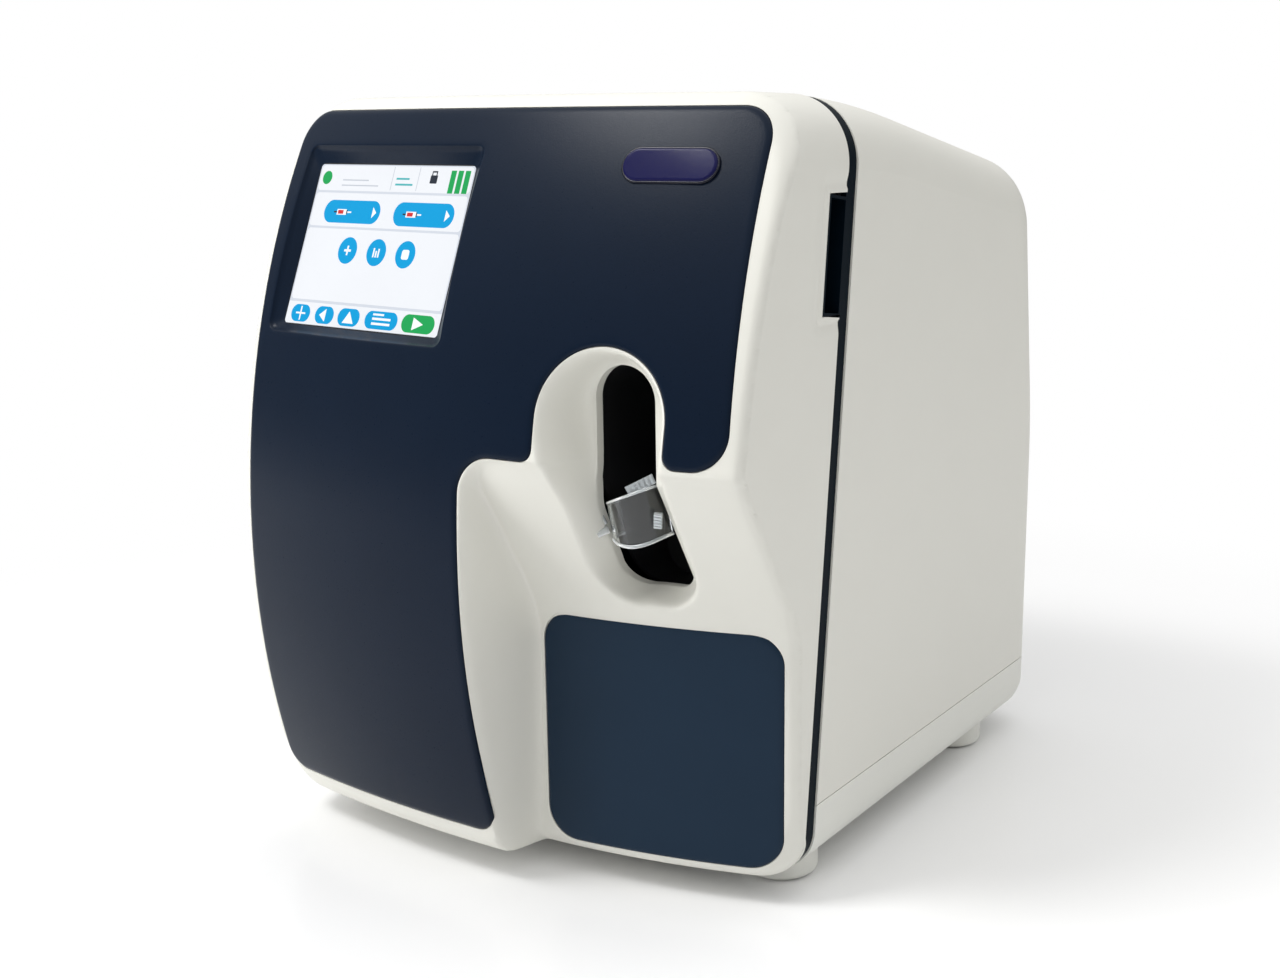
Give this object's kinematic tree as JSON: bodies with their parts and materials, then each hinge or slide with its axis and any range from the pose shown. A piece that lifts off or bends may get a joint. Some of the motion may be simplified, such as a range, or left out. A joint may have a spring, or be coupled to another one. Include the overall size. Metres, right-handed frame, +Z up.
{
  "type": "blood gas analyzer",
  "caption": "Compact benchtop blood gas analyzer: a bellied front door with touchscreen and sampling slot, over a cartridge bay, sampler, pump and electronics.",
  "frame": {"origin": "on the bench, under the middle of the bounding box", "axes": "+X to the right of someone facing it, +Y to its rear, +Z up"},
  "size_m": [0.305, 0.3878, 0.388],
  "materials": {
    "cream_plastic": "satin moulded cream plastic",
    "base_plastic": "satin moulded pale plastic",
    "navy_plastic": "fine-grained dark navy plastic",
    "lower_navy": "satin navy plastic",
    "band_plastic": "satin navy plastic",
    "badge_plastic": "polished blue plastic",
    "screen_glass": "polished cover glass",
    "dark_plastic": "matte black plastic",
    "clear_plastic": "clear moulded plastic",
    "grey_plastic": "matte grey plastic",
    "white_plastic": "matte white plastic",
    "foot_rubber": "matte rubber",
    "steel": "brushed steel",
    "bright_steel": "polished steel",
    "alloy": "satin alloy",
    "board_green": "circuit board",
    "tube_clear": "silicone tube"
  },
  "bodies": {
    "case": {"seam_band": "band_plastic", "inner_pan": "white_plastic", "base_tray": "base_plastic", "rear_cover": "cream_plastic", "rear_panel": "steel", "foot_pad_front_left": "foot_rubber", "foot_pad_front_right": "foot_rubber", "foot_pad_rear_left": "foot_rubber", "foot_pad_rear_right": "foot_rubber", "hinge_leaf_lower": "steel", "hinge_leaf_upper": "steel", "hinge_pin_lower": "bright_steel", "hinge_pin_upper": "bright_steel", "strike_plate": "steel", "cartridge_bay": "grey_plastic", "calibrator_cartridge": "white_plastic", "card_holder": "grey_plastic", "sensor_card": "white_plastic", "valve_manifold": "dark_plastic", "pump_housing": "grey_plastic", "pump_motor": "steel", "pump_tube": "tube_clear", "sampler_frame": "alloy", "guide_rod_left": "bright_steel", "guide_rod_right": "bright_steel", "probe_wipe_block": "grey_plastic", "sampler_motor": "dark_plastic", "data_ports": "dark_plastic", "mains_inlet": "dark_plastic", "fan_frame": "dark_plastic", "fan_guard": "steel", "rear_screw_left": "bright_steel", "rear_screw_right": "bright_steel", "main_board": "board_green", "processor_heat_sink": "dark_plastic", "power_supply": "steel"},
    "door": {"door_frame": "cream_plastic", "front_panel": "navy_plastic", "lower_panel": "lower_navy", "badge": "badge_plastic", "touch_glass": "screen_glass", "display_module": "dark_plastic", "display_board": "board_green", "display_clamp": "steel", "door_liner": "dark_plastic", "door_magnet": "steel", "grip_cup": "band_plastic", "sampler_guard": "clear_plastic", "door_hinge_arm_lower": "steel", "door_hinge_arm_upper": "steel"},
    "card_latch": {"card_latch": "grey_plastic"},
    "pump_rotor": {"pump_rotor": "grey_plastic"},
    "roller_a": {"pump_roller_1": "white_plastic"},
    "roller_b": {"pump_roller_2": "white_plastic"},
    "roller_c": {"pump_roller_3": "white_plastic"},
    "lead_screw": {"lead_screw": "bright_steel"},
    "carriage": {"probe_carriage": "alloy", "sampling_probe": "bright_steel"},
    "fan_rotor": {"fan_rotor": "dark_plastic"},
    "rocker": {"power_rocker": "dark_plastic"}
  },
  "joints": [
    {"name": "door_swing", "type": "hinge", "parent": "case", "child": "door", "pos_m": [-0.148, -0.0912, 0.18378], "axis": [0, -0.1146, -0.9934], "range_deg": [0, 90]},
    {"name": "latch_turn", "type": "hinge", "parent": "case", "child": "card_latch", "pos_m": [-0.004, -0.05485, 0.14238], "axis": [0, -0.9934, 0.1146], "range_deg": [0, 90]},
    {"name": "pump_spin", "type": "hinge", "parent": "case", "child": "pump_rotor", "pos_m": [0.118, -0.06108, 0.09277], "axis": [0, -0.9934, 0.1146], "continuous": true},
    {"name": "roller_a_spin", "type": "hinge", "parent": "pump_rotor", "child": "roller_a", "pos_m": [0.1293, -0.06187, 0.09286], "axis": [0, -0.9934, 0.1146], "continuous": true},
    {"name": "roller_b_spin", "type": "hinge", "parent": "pump_rotor", "child": "roller_b", "pos_m": [0.11235, -0.06075, 0.10258], "axis": [0, -0.9934, 0.1146], "continuous": true},
    {"name": "roller_c_spin", "type": "hinge", "parent": "pump_rotor", "child": "roller_c", "pos_m": [0.11235, -0.06299, 0.08314], "axis": [0, -0.9934, 0.1146], "continuous": true},
    {"name": "screw_spin", "type": "hinge", "parent": "case", "child": "lead_screw", "pos_m": [0.082, -0.01764, 0.28059], "axis": [0, -0.9063, -0.4226], "range_deg": [0, 1080]},
    {"name": "probe_slide", "type": "slide", "parent": "case", "child": "carriage", "axis": [0, -0.9063, -0.4226], "range_m": [0, 0.084]},
    {"name": "fan_spin", "type": "hinge", "parent": "case", "child": "fan_rotor", "pos_m": [0.055, 0.178, 0.118], "axis": [0, 1, 0], "continuous": true},
    {"name": "power_rock", "type": "hinge", "parent": "case", "child": "rocker", "pos_m": [-0.08, 0.1857, 0.128], "axis": [1, 0, 0], "range_deg": [-8, 8]}
  ],
  "couplings": [
    {"joint": "roller_a_spin", "follows": "pump_spin", "ratio": -3.825},
    {"joint": "roller_b_spin", "follows": "pump_spin", "ratio": -3.825},
    {"joint": "roller_c_spin", "follows": "pump_spin", "ratio": -3.825},
    {"joint": "screw_spin", "follows": "probe_slide", "rad_per_m": 224.4}
  ]
}
